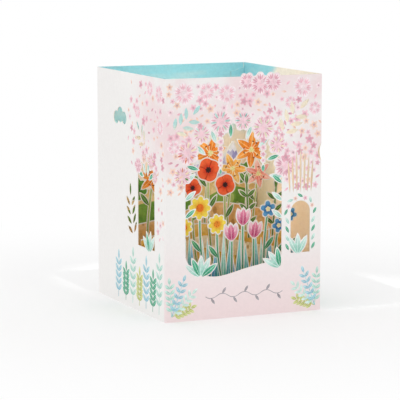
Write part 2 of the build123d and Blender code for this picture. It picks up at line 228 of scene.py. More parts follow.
class Sheet:
    """A flat sheet: shapes in the order in which they are left standing, cut away and printed.

    A shape is an outline and a rule for the place of a point within it, which its ink follows.
    The printed face, the back and the cut edges stay one closed piece of card.
    """

    def __init__(self):
        self.shapes = []
        self.on(0.0)

    def on(self, origin, side=1.0):
        """Lays the next shapes on a panel that starts at origin and runs to that side of it."""
        self.origin, self.side = origin, side

    def keep(self, job, finish, shapes):
        for outline, local in shapes:
            flat = [(self.origin + self.side * s, z) for s, z in outline]
            turn = sum(a[0] * b[1] - b[0] * a[1] for a, b in zip(flat, flat[1:] + flat[:1]))
            self.shapes.append((job, flat if turn > 0 else flat[::-1], finish, local, self.origin, self.side))

    def card(self, *shapes):
        self.keep("card", None, shapes)

    def cut(self, *shapes):
        self.keep("cut", None, shapes)

    def ink(self, finish, *shapes):
        self.keep("ink", finish, shapes)

    def settle(self, owners, face):
        """Finish of a scrap's face and the shape printed on it, or None where the scrap is cut away."""
        standing, printed = False, (face, None)
        for index in sorted(owners):
            job, finish = self.shapes[index][0], self.shapes[index][2]
            if job == "ink":
                printed = (finish, index)
            else:
                standing, printed = job == "card", (face, None)
        return printed if standing else None

    def place_in(self, index, point):
        """Place of a point of the sheet within one of its printed shapes."""
        if index is None:
            return plain_place
        *_, local, origin, side = self.shapes[index]
        return local(((point[0] - origin) * side, point[1]))

    def fold(self, name, path, face, back, edge):
        """Cuts the sheet out and folds it along a path of places, with the plan of face and back at each."""
        points = [point for shape in self.shapes for point in shape[1]]
        rings, start = [], 0
        for shape in self.shapes:
            rings.append(list(range(start, start + len(shape[1]))))
            start += len(shape[1])
        low, high = min(z for _, z in points), max(z for _, z in points)
        scores = []
        for place, _, _ in path[1:-1]:
            scores.append((len(points), len(points) + 1))
            points += [(place, low - 1.0), (place, high + 1.0)]
        laid = delaunay_2d_cdt([Vector(p) for p in points], scores, rings, 0, 1e-4)
        corners, triangles, owners = laid[0], laid[2], laid[5]

        places = [place for place, _, _ in path]
        number = {}
        spots = []

        def corner(index):
            """First of a corner's two points in the folded sheet: on its face, then on its back."""
            if index not in number:
                number[index] = len(spots)
                along, up = corners[index]
                k = min(max(bisect.bisect_right(places, along) - 1, 0), len(path) - 2)
                (begin, face_a, back_a), (end, face_b, back_b) = path[k], path[k + 1]
                share = (along - begin) / (end - begin)
                for first, second in ((face_a, face_b), (back_a, back_b)):
                    spot = Vector(first).lerp(Vector(second), share)
                    spots.append((spot.x * MM, spot.y * MM, up * MM))
            return number[index]

        faces, finishes, inner = [], [], []
        rims = {}
        for triangle, owner in zip(triangles, owners):
            settled = self.settle(owner, face)
            if settled is None:
                continue
            ids = [corner(index) for index in triangle]
            flat = [corners[index] for index in triangle]
            for (finish, index), order, shift in ((settled, (0, 1, 2), 0), ((back, None), (2, 1, 0), 1)):
                faces.append([ids[k] + shift for k in order])
                finishes.append(finish)
                inner += [self.place_in(index, flat[k]) for k in order]
            for k in range(3):
                rims[ids[k], ids[(k + 1) % 3]] = True
        for a, b in rims:
            if (b, a) not in rims:
                faces.append([b, a, a + 1, b + 1])
                finishes.append(edge)
                inner += [plain_place] * 4

        mesh = bpy.data.meshes.new(name)
        mesh.from_pydata(spots, [], faces)
        used = sorted(set(finishes), key=lambda finish: finish.name)
        for finish in used:
            mesh.materials.append(finish)
        mesh.polygons.foreach_set("material_index", [used.index(finish) for finish in finishes])
        layer = mesh.uv_layers.new(name="print")
        layer.data.foreach_set("uv", [value for pair in inner for value in pair])
        return set_out(name, mesh)


sleeve = Sheet()
sleeve.card(rectangle(sleeve_fold + seam_gap, 0.0, flap_start, panel_height))
flap_top = panel_height - flap_inset
flap_end = flap_start + flap_width
flap = [(flap_start, flap_inset), (flap_end, flap_inset + flap_bevel)]
flap += [(flap_end, flap_top - flap_bevel), (flap_start, flap_top)]
sleeve.card(plain(flap))
garland_blossom = 10.0  # largest blossom round the window
crest_place, crest_step = 76.0, 10.5  # middle blossom of the top edge, and the way to the next
crest = []
for place, share in ((-1, 0.7), (0, 0.9), (1, 0.8)):
    size = share * garland_blossom
    crest.append(((crest_place + place * crest_step, panel_height + crest_rise - size), size, 25 * place))
sleeve.on(front_fold)
sleeve.card(*(blossom(centre, size, 6, turn) for centre, size, turn in crest))


# Card sleeve, arches: a garden window in the front and a smaller arch in the left side, cut with a garland of
# blossoms left standing round the head, leaves that climb the sides and strands of florets that hang down.
side_blossom = 7.0  # largest blossom round the side arch
blossom_set = 0.3  # blossom's centre outside the line of the arch, as a share of its size
garland_leaf = (12.0, 4.2)
sill_leaf = (17.0, 5.5)
strand_bead, strand_thread = 3.4, 1.2
bead_pitch, bead_taper = 1.65, 0.9  # way to the next floret and its size, as shares of this one's size
print_rim = 0.7  # bare card round a printed shape


def print_place(tree):
    """Place within a printed shape: along or outwards from its root, and across or round it."""
    spot = put(tree, "ShaderNodeUVMap", uv_map="print").outputs["UV"]
    parts = put(tree, "ShaderNodeSeparateXYZ", {0: spot}).outputs
    return parts["X"], parts["Y"]


def leaf_ink(name, root, tip, vein):
    """Leaf or blade colour that runs from root to tip, with a brushed middle vein and slanting side veins."""
    vein_width, side_veins, slope = 0.16, 6.0, 0.9
    material, tree = start_finish(name)
    along, across = print_place(tree)
    aside = reckon(tree, "ABSOLUTE", across)
    shade = blend(tree, between(tree, along, 0.05, 0.95), colour(root), colour(tip))
    middle = between(tree, aside, vein_width * 0.4, vein_width, 0.8, 0.0)
    steps = reckon(tree, "MULTIPLY", along, side_veins)
    slant = reckon(tree, "SUBTRACT", steps, reckon(tree, "MULTIPLY", aside, slope))
    ripple = reckon(tree, "ABSOLUTE", reckon(tree, "SUBTRACT", reckon(tree, "FRACT", slant), 0.5))
    veins = reckon(tree, "MAXIMUM", middle, between(tree, ripple, 0.02, 0.09, 0.35, 0.0))
    end_finish(tree, mottled(tree, blend(tree, veins, shade, colour(vein)), 0.1))
    return material


def petal_ink(name, heart, rim, line, rays=3.0):
    """Flower colour from heart to rim, deeper where two petals meet and with fine rays along each petal."""
    material, tree = start_finish(name)
    out, round_place = print_place(tree)
    shade = blend(tree, between(tree, out, 0.15, 0.85), colour(heart), colour(rim))
    petal = reckon(tree, "FRACT", round_place)
    off_middle = reckon(tree, "ABSOLUTE", reckon(tree, "SUBTRACT", petal, 0.5))
    dip = between(tree, off_middle, 0.4, 0.5, 0.0, 0.75)
    ray = reckon(tree, "COSINE", reckon(tree, "MULTIPLY", petal, rays * 2 * math.pi))
    lines = reckon(tree, "MULTIPLY", between(tree, ray, 0.7, 1.0, 0.0, 0.45), between(tree, out, 0.8, 0.3))
    marks = reckon(tree, "MAXIMUM", dip, lines)
    end_finish(tree, mottled(tree, blend(tree, marks, shade, colour(line)), 0.08))
    return material


blush_ink = petal_ink("blush_ink", "F4D3DA", "F9E8EB", "F0C8D1")
pink_ink = petal_ink("pink_ink", "F0B9C6", "F6D2DA", "E8A5B5")
rose_ink = petal_ink("rose_ink", "DDA0B0", "EBB6C3", "CE8CA0")
mauve_ink = petal_ink("mauve_ink", "C398A4", "D3AEB8", "B58895")
mint_ink = leaf_ink("mint_ink", "8FCDBB", "CDE8DF", "EAF6F1")
green_ink = leaf_ink("green_ink", "2A8F69", "52B791", "BFE6D6")


def leaf(base, angle, length, width, facets=9):
    """Pointed leaf between two bows from its base to its tip."""
    outline = []
    for side in (-1, 1):
        for step in range(facets):
            share = (step if side == -1 else facets - step) / facets
            bow = side * width / 2 * math.sin(math.pi * share) ** 0.8
            outline.append(toward(toward(base, angle, share * length), angle + 90, bow))

    def local(point):
        dx, dz = point[0] - base[0], point[1] - base[1]
        turn = math.radians(angle)
        along = dx * math.cos(turn) + dz * math.sin(turn)
        across = dz * math.cos(turn) - dx * math.sin(turn)
        return along / length, across / (width / 2)

    return outline, local


def bough(foot, head, bend, foot_width, head_width, facets=8):
    """Stem that tapers from foot to head and bows out to its left by bend."""
    rise = Vector(head) - Vector(foot)
    left = Vector((-rise.y, rise.x)).normalized()
    sides = ([], [])
    for step in range(facets + 1):
        share = step / facets
        half = (foot_width + (head_width - foot_width) * share) / 2
        middle = Vector(foot) + rise * share + left * bend * 4 * share * (1 - share)
        sides[0].append(tuple(middle - left * half))
        sides[1].append(tuple(middle + left * half))

    def local(point):
        offset = Vector(point) - Vector(foot)
        share = offset.dot(rise) / rise.length_squared
        half = (foot_width + (head_width - foot_width) * share) / 2
        return share, (offset.dot(left) - bend * 4 * share * (1 - share)) / max(half, 0.1)

    return sides[0] + sides[1][::-1], local


def smooth(points, steps=9):
    """Even curve through the points, ends included."""
    ends = [points[0], *points, points[-1]]
    line = []
    for k in range(len(points) - 1):
        before, start, end, after = (Vector(p) for p in ends[k : k + 4])
        for step in range(steps):
            t = step / steps
            pull = (end - before) / 2 * (t**3 - 2 * t**2 + t) + (after - start) / 2 * (t**3 - t**2)
            line.append(tuple(start * (2 * t**3 - 3 * t**2 + 1) + end * (3 * t**2 - 2 * t**3) + pull))
    return line + [points[-1]]


def arch_point(span, angle, beyond):
    """Point at an angle round an arch (left, right, crown, rise), a little beyond its line."""
    left, right, crown, rise = span
    radius = ((right - left) ** 2 / 4 + rise**2) / (2 * rise)
    return toward(((left + right) / 2, crown - radius), angle, radius + beyond)


def arch(span, ground_line, facets=40):
    """Opening with a round head over a ground line, which runs from left to right."""
    left, right, crown, rise = span
    radius = ((right - left) ** 2 / 4 + rise**2) / (2 * rise)
    spring = math.degrees(math.asin((radius - rise) / radius))
    head = [spring + (180 - 2 * spring) * step / facets for step in range(facets + 1)]
    return plain(list(ground_line) + [arch_point(span, angle, 0.0) for angle in head])


def garland(span, angles, radius):
    """Blossoms (centre, size, turn) on the line of an arch, and the leaves (base, angle) beside them."""
    blossoms, leaves = [], []
    for place, angle in enumerate(angles):
        size = radius * (1.0 if place % 2 else 0.8)
        blossoms.append((arch_point(span, angle, size * blossom_set), size, angle + 17 * place))
        leaves.append((arch_point(span, angle - 11, 1.0), angle + 165))
    return blossoms, leaves


def strand(span, angle, radius, count):
    """Florets (centre, size, turn) that hang from a garland blossom, and the end leaf's root and size."""
    x, z = arch_point(span, angle, radius * blossom_set)
    z -= 0.9 * radius
    size = strand_bead
    florets = []
    for bead in range(count):
        florets.append(((x, z), size, 108 + 36 * bead))
        z -= size * bead_pitch
        size *= bead_taper
    return florets, (x, z + size), size


def print_leaf(finish, base, angle, length, width):
    """Leaf colour inside a leaf of bare card."""
    sleeve.ink(finish, leaf(toward(base, angle, 1.2), angle, length - 2.4, width - 2 * print_rim))


def print_floret(finish, centre, size, turn):
    """Small five-petalled flower with a darker eye."""
    sleeve.ink(finish, blossom(centre, size, 5, turn, notch=0.5, facets=6))
    sleeve.ink(mauve_ink, blossom(centre, size * 0.24, 5, turn, notch=0.0, facets=2))


def dress_blossom(centre, size, turn, slit, inks=(blush_ink, rose_ink, pink_ink)):
    """Pink six-petalled blossom with two brushed lines along each petal and, where there is room, a slit."""
    petals, line, heart = inks
    sleeve.ink(petals, blossom(centre, size - print_rim, 6, turn))
    for petal in range(6):
        middle = turn + 60 * petal + 30
        for spread in (-17, 17):
            root = toward(centre, middle + spread, 0.36 * size)
            sleeve.ink(line, leaf(root, middle + spread, 0.46 * size, 0.11 * size, facets=5))
        petal_middle = leaf(toward(centre, middle, 0.3 * size), middle, 0.52 * size, 0.17 * size, facets=6)
        if slit:
            sleeve.cut(petal_middle)
        else:
            sleeve.ink(line, petal_middle)
    sleeve.ink(heart, blossom(centre, 0.2 * size, 5, turn, facets=5))


def dress_arch(span, ground_line, angles, radius, fans, climbers, strands):
    """Cuts an arch, leaves its growth standing and prints it."""
    sleeve.cut(arch(span, ground_line))
    blossoms, leaves = garland(span, angles, radius)
    leaves = [(base, angle, *garland_leaf) for base, angle in leaves + climbers]
    leaves += [(base, angle, *sill_leaf) for base, spread in fans for angle in spread]
    sleeve.card(*(leaf(*spec) for spec in leaves))
    sleeve.card(*(blossom(centre, size, 6, turn) for centre, size, turn in blossoms))
    hung = [strand(span, angle, radius, count) for angle, count in strands]
    for florets, end, size in hung:
        for centre, bead, turn in florets:
            sleeve.card(blossom(centre, bead, 5, turn, notch=0.28, facets=5))
            thread_end = (centre[0], centre[1] - bead_pitch * bead)
            sleeve.card(bough(centre, thread_end, 0, strand_thread, strand_thread, facets=1))
        sleeve.card(leaf(end, -90, 3 * size, 1.4 * size))
    for place, spec in enumerate(leaves):
        print_leaf(mint_ink if place % 3 else green_ink, *spec)
    for spec in blossoms:
        dress_blossom(*spec, slit=spec != blossoms[-1])
    for florets, end, size in hung:
        for place, (centre, bead, turn) in enumerate(florets):
            print_floret(pink_ink if place % 2 else rose_ink, centre, bead - 0.8, turn)
        print_leaf(green_ink, end, -90, 3 * size + 1.0, 1.4 * size + 0.6)


window_span = (16.0, panel_width - 33.0, panel_height - 34.0, 36.0)  # left, right, crown and rise
window_left, window_right, window_crown, window_rise = window_span
window_width = window_right - window_left
window_spring = window_crown - window_rise
sill_height = 34.0
sill_roll, sill_upturn = 2.5, 13.0
rung_pitch = 13.0  # between two leaves that climb a side
sill = smooth(
    [
        (window_left, sill_height + sill_upturn),
        (window_left + 0.09 * window_width, sill_height + sill_roll),
        (window_left + 0.32 * window_width, sill_height - sill_roll),
        (window_left + 0.65 * window_width, sill_height + sill_roll),
        (window_right, sill_height + 3 * sill_roll),
    ]
)
climbers = []
for rung in range(3):
    rung_height = window_spring - rung_pitch * (rung + 0.5)
    climbers.append(((window_left - 1, rung_height), 38))
    climbers.append(((window_right + 1, rung_height - 4), 142))
left_fan = ((window_left + 12, sill_height - sill_roll), (140, 115, 88, 62, 36))
right_fan = ((window_right - 1, sill_height), (150, 126, 100))
sleeve.on(front_fold)
dress_arch(
    window_span,
    sill,
    (177, 153, 129, 105, 80, 56, 32, 8),
    garland_blossom,
    (left_fan, right_fan),
    climbers,
    ((105, 6), (56, 4)),
)

side_span = (20.0, 52.0, panel_height - 62.0, 15.0)
side_sill = 50.0
side_fan = ((side_span[0] + 10, side_sill - 3), (125, 98, 70, 42))
side_ground = [(side_span[0], side_sill), (side_span[1], side_sill)]
sleeve.on(front_fold, -1.0)
dress_arch(side_span, side_ground, (165, 122, 78, 34), side_blossom, (side_fan,), [], ())


# Card sleeve, small cut-outs: a niche with leaves and tall reeds beside the window, leaf sprays, one slit
# that runs round the right-hand fold, and a cloud in the left side. The rest of the right side stays whole.
peach_ink = petal_ink("peach_ink", "F2C6B2", "F9E0D4", "E8B29B")


def disc(centre, radius):
    return blossom(centre, radius, 1, notch=0.0, facets=22)


def fan(base, angles, length, width):
    return [leaf(base, angle, length, width) for angle in angles]


def spray(root, angle, pairs, curl, size=1.0):
    """Leaf-shaped slits in pairs along a curling stem, with one at its end."""
    length, width = 9.0 * size, 3.2 * size
    slits = []
    for _ in range(pairs):
        for side in (-1, 1):
            base = toward(root, angle + side * 90, width * 0.35)
            slits.append(leaf(base, angle + side * 48, length, width))
        root = toward(root, angle, width * 1.9)
        angle += curl
    return slits + [leaf(root, angle, length, width)]


niche_rise = 8.0
niche_right = panel_width - 9.5
niche_left = niche_right - 2 * niche_rise
niche_middle = (niche_left + niche_right) / 2
niche_sill = 45.0
niche_crown = 84.0
niche_ground = [(niche_left, niche_sill), (niche_right, niche_sill)]
niche_fan = ((niche_middle - 2, niche_sill - 2), (118, 90, 62))
sleeve.on(front_fold)
sleeve.cut(arch((niche_left, niche_right, niche_crown, niche_rise), niche_ground))
sleeve.card(*fan(*niche_fan, *sill_leaf))
for angle in niche_fan[1]:
    print_leaf(mint_ink, niche_fan[0], angle, *sill_leaf)
head_gap, side_gap = 2.6, 1.4  # from the niche to the florets and leaves printed round it
head_floret, head_leaf = 2.0, (5.4, 2.0)
side_leaf, side_leaf_pitch = (6.0, 2.1), 6.6
for step in range(9):
    turn = 180 - 22.5 * step
    spot = toward((niche_middle, niche_crown - niche_rise), turn, niche_rise + head_gap)
    if step % 2:
        print_floret(pink_ink if step % 4 == 1 else peach_ink, spot, head_floret, turn)
    else:
        base = toward(spot, turn + 90, -2.2)
        sleeve.ink(mint_ink if step % 4 else green_ink, leaf(base, turn + 60, *head_leaf))
for side in (-1, 1):
    for rung in range(4):
        foot = (niche_middle + side * (niche_rise + side_gap), niche_sill + 2 + rung * side_leaf_pitch)
        sleeve.ink(mint_ink if rung % 2 else green_ink, leaf(foot, 90 - side * 28, *side_leaf))
reed_foot, reed_head = niche_crown + 6.0, panel_height - 54.0
reed_pitch, reed_width = 2.9, 1.7
reed_spread, reed_drop = 1.2, 3.0  # how much more each reed leans and loses away from the middle one
for reed in range(7):
    place = reed - 3
    foot = (niche_middle + place * reed_pitch, reed_foot)
    length = reed_head - reed_foot - reed_drop * abs(place)
    sleeve.cut(leaf(foot, 90 - reed_spread * place, length, reed_width))
fold_slit = (14.0, 6.4)
sleeve.cut(leaf((panel_width, panel_height - 65.0), 90, *fold_slit))
sleeve.cut(*spray((8, panel_height - 38), 34, 3, 5))
sleeve.cut(*spray((panel_width - 31, panel_height - 42), 58, 3, -5, 1.15))
sleeve.on(front_fold, -1.0)
cloud_place, cloud_height = 87.0, panel_height - 35.0
for shift, rise, size in ((-8, 0, 4.8), (0, 2, 6.0), (8, -0.5, 5.1)):
    sleeve.cut(disc((cloud_place + shift, cloud_height + rise), size))
sleeve.cut(*spray((side_span[1] + 9, side_sill + 8), 72, 4, 4, 1.15))
sleeve.cut(*spray((side_span[1] - 12, panel_height - 50), 40, 2, 6))


# Card sleeve, printed blossom: small pink florets and loose petals strewn over the upper part of the front
# and the near part of each side, with larger pale heads among them. They thin out towards the plain card.
side_reach = 78  # print on a side, from the front fold
veil_ink = petal_ink("veil_ink", "F4DCE0", "F8ECEE", "F0D3D9")


def strew(seed, area, density, gap, wanted):
    """Places for florets, no two nearer than gap, kept with the chance that density gives at each place."""
    left, right, low, high = area
    chance = random.Random(seed)
    places = []
    for _ in range(wanted * 30):
        spot = (chance.uniform(left, right), chance.uniform(low, high))
        if len(places) == wanted:
            break
        if chance.random() < density(spot) and all(math.dist(spot, other) > gap for other in places):
            places.append(spot)
    return places


def over_window(spot):
    """Thick just outside the arch of the window and thin at the edges of the panel."""
    clear, thickest, fade, least = 4, 14, 26, 0.12
    centre = ((window_left + window_right) / 2, window_spring)
    away = math.dist(spot, centre) - window_width / 2
    on_head = any(math.dist(spot, middle) < size for middle, size, _ in crest + front_heads)
    return 0.0 if away < clear or on_head else max(least, 1 - abs(away - thickest) / fade)


def near_fold(spot):
    """Thick by the front fold and above the side arch, bare towards the back."""
    on_head = any(math.dist(spot, middle) < size for middle, size, _ in side_heads)
    off_arch = spot[1] > side_span[2] - 6 or spot[0] < 16
    return max(0.0, 1 - spot[0] / side_reach) if off_arch and not on_head else 0.0


def strew_blossom(seed, places):
    """Prints a floret or a loose petal at each place, in a pink picked by chance."""
    chance = random.Random(seed)
    for spot in places:
        finish = chance.choice((blush_ink, peach_ink, peach_ink, pink_ink, pink_ink, rose_ink))
        if chance.random() < 0.62:
            print_floret(finish, spot, chance.uniform(1.9, 3.7), chance.uniform(0, 72))
        else:
            sleeve.ink(finish, leaf(spot, chance.uniform(0, 360), 4.2, 1.7, facets=5))


side_panels = ((front_fold, -1.0), (right_fold, 1.0))
front_area = (3, panel_width - 3, 92, panel_height - 5)
side_area = (3, side_reach, 60, panel_height - 5)
pale_inks = (veil_ink, pink_ink, blush_ink)
front_heads = [((15, 167), 9.2, 10), ((33, 168), 7.6, 40), ((49, 166), 8.4, 0), ((111, 169), 9.0, 20)]
front_heads += [((121, 153), 6.2, 50), ((101, 158), 6.0, 5), ((7, 128), 6.0, 35)]
side_heads = [((11, 166), 8.2, 15), ((28, 169), 7.0, 45), ((9, 142), 7.0, 5), ((52, 150), 6.4, 30)]
sleeve.on(front_fold)
for spec in crest:
    dress_blossom(*spec, slit=False)
for spec in front_heads:
    dress_blossom(*spec, slit=False, inks=pale_inks)
strew_blossom(11, strew(5, front_area, over_window, gap=4.6, wanted=190))
for seed, (origin, side) in enumerate(side_panels):
    sleeve.on(origin, side)
    for spec in side_heads:
        dress_blossom(*spec, slit=False, inks=pale_inks)
    strew_blossom(21 + seed, strew(31 + seed, side_area, near_fold, gap=4.8, wanted=72))


# Card sleeve, printed border: a plain leafy vine in thin grey line under the window, two ferns in the corners
# of the front, and a row of sprigs in mint, green, olive and blue at the foot of each side.
pale_mint_ink = leaf_ink("pale_mint_ink", "B4DDD0", "DDF0EA", "F2FAF7")
olive_ink = leaf_ink("olive_ink", "A9B24E", "D4D98E", "EEF0CB")
sky_leaf_ink = leaf_ink("sky_leaf_ink", "6FB4C8", "B4DBE4", "E3F2F5")
line_ink = leaf_ink("line_ink", "8F8A90", "A9A4A9", "C9C4C8")


def sprig(foot, head, pairs, length, width, stem, lean=90):
    """Stem with leaves in pairs and one at its tip."""
    shapes = [bough(foot, head, 0, stem, stem, facets=1)]
    for pair in range(pairs):
        share = (pair + 1) / (pairs + 1)
        base = (foot[0] + (head[0] - foot[0]) * share, foot[1] + (head[1] - foot[1]) * share)
        shapes += fan(base, (lean - 50, lean + 50), length, width)
    return shapes + [leaf(toward(head, lean, -1), lean, length, width)]


sleeve.on(front_fold)
vine_left, vine_height = 32.0, 17.0
vine_step, vine_sway, vine_line = 9.0, 1.6, 0.55
for bend in range(7):
    sway = vine_sway if bend % 2 else -vine_sway
    foot = (vine_left + bend * vine_step, vine_height)
    head = (foot[0] + vine_step, vine_height)
    sleeve.ink(line_ink, bough(foot, head, sway, vine_line, vine_line))
    middle = (foot[0] + vine_step / 2, vine_height + sway)
    sleeve.ink(line_ink, leaf(middle, 55 if sway > 0 else -55, 5.4, 1.9))
fern_inset, fern_height = 5.0, 4.0
fern_sprig = (5, 5.6, 2.3, 0.6)  # pairs of leaves, a leaf's length and width, and the stem's width
foot_sprig = (5, 8.6, 3.2, 0.8)
fronds = ((20, 17, olive_ink), (94, 25, mint_ink), (44, 24, pale_mint_ink), (70, 28, sky_leaf_ink))
for foot_x, mirror in ((fern_inset, 1), (panel_width - fern_inset, -1)):
    for angle, length, finish in fronds:
        lean = 90 - mirror * (90 - angle)
        foot = (foot_x, fern_height)
        sleeve.ink(finish, *sprig(foot, toward(foot, lean, length), *fern_sprig, lean))
foot_row = ((12, 43, mint_ink), (24, 29, green_ink), (37, 37, sky_leaf_ink), (50, 27, olive_ink))
foot_row += ((63, 40, mint_ink), (77, 27, green_ink), (92, 34, sky_leaf_ink))
for origin, side in side_panels:
    sleeve.on(origin, side)
    for x, top, finish in foot_row:
        sleeve.ink(finish, *sprig((x, fern_height), (x - 1, top), *foot_sprig))


# Card sleeve, folded up: the sheet goes round its four scored folds as a tube, open at the top and bottom,
# and the flap lies inside the back panel along the right-hand back fold, where it is glued.
glue_film = 0.02


def folded_path(corners, start, radius, thickness, facets=4):
    """Path of a sheet whose face runs round the corners, each a rounded quarter turn to the left."""
    path = []

    def left_of(way):
        return Vector((-way.y, way.x))

    place = start
    spots = [Vector(c) for c in corners]
    ways = [(b - a).normalized() for a, b in zip(spots, spots[1:])]
    path.append((place, spots[0], spots[0] + left_of(ways[0]) * thickness))
    for k in range(1, len(spots) - 1):
        place += (spots[k] - spots[k - 1]).length
        centre = spots[k] - ways[k - 1] * radius + left_of(ways[k - 1]) * radius
        for step in range(facets + 1):
            turn = math.radians(90 * step / facets)
            out = ways[k - 1] * math.sin(turn) - left_of(ways[k - 1]) * math.cos(turn)
            spot = place + radius * (2 * step / facets - 1)
            path.append((spot, centre + out * radius, centre + out * (radius - thickness)))
    place += (spots[-1] - spots[-2]).length
    path.append((place, spots[-1], spots[-1] + left_of(ways[-1]) * thickness))
    return path


left, right, front, back = sleeve_low.x, sleeve_high.x, sleeve_low.y, sleeve_high.y
sleeve_corners = [(right, back), (left, back), (left, front), (right, front), (right, back)]
sleeve_corners.append((right - 2 * sleeve_fold, back))
sleeve_path = folded_path(sleeve_corners, 0.0, sleeve_fold, card_thickness)[:-1]
flap_face = back - card_thickness - glue_film
flap_root = right - sleeve_fold
for place, x in ((flap_start + 0.25, flap_root - 0.15), (flap_end, flap_root - flap_width)):
    sleeve_path.append((place, Vector((x, flap_face)), Vector((x, flap_face - card_thickness))))
card_sleeve = sleeve.fold("card_sleeve_sheet", sleeve_path, white_card, inside_print, cut_edge)
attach(card_sleeve, "root")
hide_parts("card_sleeve")


# Inner layers: thinner card printed in colour on the front and left bare behind, die-cut with a narrow white
# rim round each motif. A tab at each end is folded back and glued to the sleeve's side.
layer_thickness = 0.35
layer_fold = 0.85
layer_lift = 1.5
tab_height = 24.0
tab_bevel = 3.0
tab_lap = 2.0  # of a tab's shape into the front of its layer
die_rim = 0.9
bare_card = start_cut_edge("bare_card", "F5F1EE", "EFE9E4")
die_edge = start_cut_edge("die_edge", "F8F4EE", "F0E8DC")


def start_layer(node):
    """Bare sheet with its two tabs, and the path of its folds."""
    low, high = (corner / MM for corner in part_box(node))
    half, tab = high.x, high.y - low.y
    sheet = Sheet()
    for side in (-1, 1):
        sheet.on(0.0, side)
        tab_root, tab_end, tab_top = half - layer_fold - tab_lap, half + tab, layer_lift + tab_height
        shape = [(tab_root, layer_lift), (tab_end - tab_bevel, layer_lift)]
        shape += [(tab_end, layer_lift + tab_bevel), (tab_end, tab_top - tab_bevel)]
        shape += [(tab_end - tab_bevel, tab_top), (tab_root, tab_top)]
        sheet.card(plain(shape))
    sheet.on(0.0)
    corners = [(low.x, high.y), (low.x, low.y), (high.x, low.y), (high.x, high.y)]
    return sheet, folded_path(corners, -half - tab, layer_fold, layer_thickness), half - layer_fold


def ground(heights, half, drop=0.0):
    """Strip of ground from one side fold to the other under a rolling line."""
    step = panel_width / (len(heights) - 1)
    line = smooth([(-panel_width / 2 + place * step, height - drop) for place, height in enumerate(heights)])
    inside = [(x, z) for x, z in line if abs(x) < half - 0.01]
    first = next(k for k, (x, _) in enumerate(line) if x > -half)
    ends = []
    for x, (a, b) in ((-half, line[first - 1 : first + 1]), (half, line[-first - 1 : len(line) - first + 1])):
        ends.append((x, a[1] + (b[1] - a[1]) * (x - a[0]) / (b[0] - a[0])))
    outline = [(-half, layer_lift), (half, layer_lift), ends[1], *inside[::-1], ends[0]]
    return outline, lambda point: (point[1] / max(heights), point[0] / 10.0)


def stand_ground(sheet, finish, heights, half, rim):
    """Ground left standing and printed up to its rim."""
    sheet.card(ground(heights, half))
    sheet.ink(finish, ground(heights, half, rim))


def finish_layer(sheet, node, path):
    """Folds the layer up and sets it in its place."""
    layer = sheet.fold(node + "_sheet", path, bare_card, bare_card, die_edge)
    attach(layer, "root")
    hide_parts(node)


# Flower layer, nearest the window: one die-cut sheet with yellow daisies, pink tulips and blue bell flowers
# in a bank of teal grass, printed in matt inks and glued in by its two tabs.
stem_width = 2.4
stem_print = stem_width - 1.1  # printed part of a stem, inside its white rim
stalk_leaf = (14.0, 4.6)
grass_foot = 24.0


def field_ink(name, ground, second, fleck, spots, reach=0.28):
    """Field of colour with broad patches of a second shade and small brushed flecks."""
    patch_scale, fleck_stretch = 60.0, (1.0, 1.0, 0.55)
    material, tree = start_finish(name)
    patches = between(tree, cloudiness(tree, patch_scale), 0.42, 0.58)
    shade = blend(tree, patches, colour(ground), colour(second))
    feeds = {"Vector": card_place(tree), "Scale": fleck_stretch}
    long_way = put(tree, "ShaderNodeMapping", feeds).outputs["Vector"]
    cells = put(tree, "ShaderNodeTexVoronoi", {"Vector": long_way, "Scale": spots, "Randomness": 0.9})
    flecks = between(tree, cells.outputs["Distance"], reach * 0.7, reach, 0.8, 0.0)
    end_finish(tree, mottled(tree, blend(tree, flecks, shade, colour(fleck)), 0.1))
    return material


teal_blade = leaf_ink("teal_blade", "3A929C", "8AD0CB", "C8ECE6")
blue_blade = leaf_ink("blue_blade", "3388B6", "7EC0DE", "C2E2EF")
mint_blade = leaf_ink("mint_blade", "66B9A4", "BDE8D8", "E8F7F1")
bank_field = field_ink("bank_field", "3E8E96", "5AA9A8", "A5DAD6", 200.0)
stem_green = leaf_ink("stem_green", "2E7F5C", "57A777", "9FD1AE")
stalk_green = leaf_ink("stalk_green", "1F7A4E", "4BA872", "A9DDB8")
daisy_petal = petal_ink("daisy_petal", "EFA92C", "F7DE55", "E59A24")
daisy_heart = field_ink("daisy_heart", "E9761C", "F08F2A", "9A4A12", 900.0)
tulip_petal = leaf_ink("tulip_petal", "D2527F", "F6BFD0", "FBE3EA")
tulip_heart = leaf_ink("tulip_heart", "B5386B", "E984A6", "F6C4D3")
bell_petal = petal_ink("bell_petal", "1F66A8", "5FA4D8", "174F88")
bell_heart = petal_ink("bell_heart", "F4E7A0", "F7F1CF", "E0C45C")


def stand_stalk(sheet, foot, head, bend, leaf_share, leaf_angle, stem_finish, leaf_finish):
    """Flower stem with one leaf part of the way up, left standing and printed inside their rims."""
    rise = Vector(head) - Vector(foot)
    bow = Vector((-rise.y, rise.x)).normalized() * bend * 4 * leaf_share * (1 - leaf_share)
    base = tuple(Vector(foot) + rise * leaf_share + bow)
    length, width = stalk_leaf
    sheet.card(bough(foot, head, bend, stem_width, stem_width), leaf(base, leaf_angle, length, width))
    sheet.ink(stem_finish, bough(foot, head, bend, stem_print, stem_print))
    sheet.ink(leaf_finish, leaf(toward(base, leaf_angle, 0.6), leaf_angle, length - 1.8, width - 1.3))


def stand_head(sheet, finish, centre, size, petals, turn, notch, print_notch):
    """Flower head left standing and printed inside its rim."""
    sheet.card(blossom(centre, size, petals, turn, notch))
    sheet.ink(finish, blossom(centre, size - die_rim, petals, turn, print_notch))


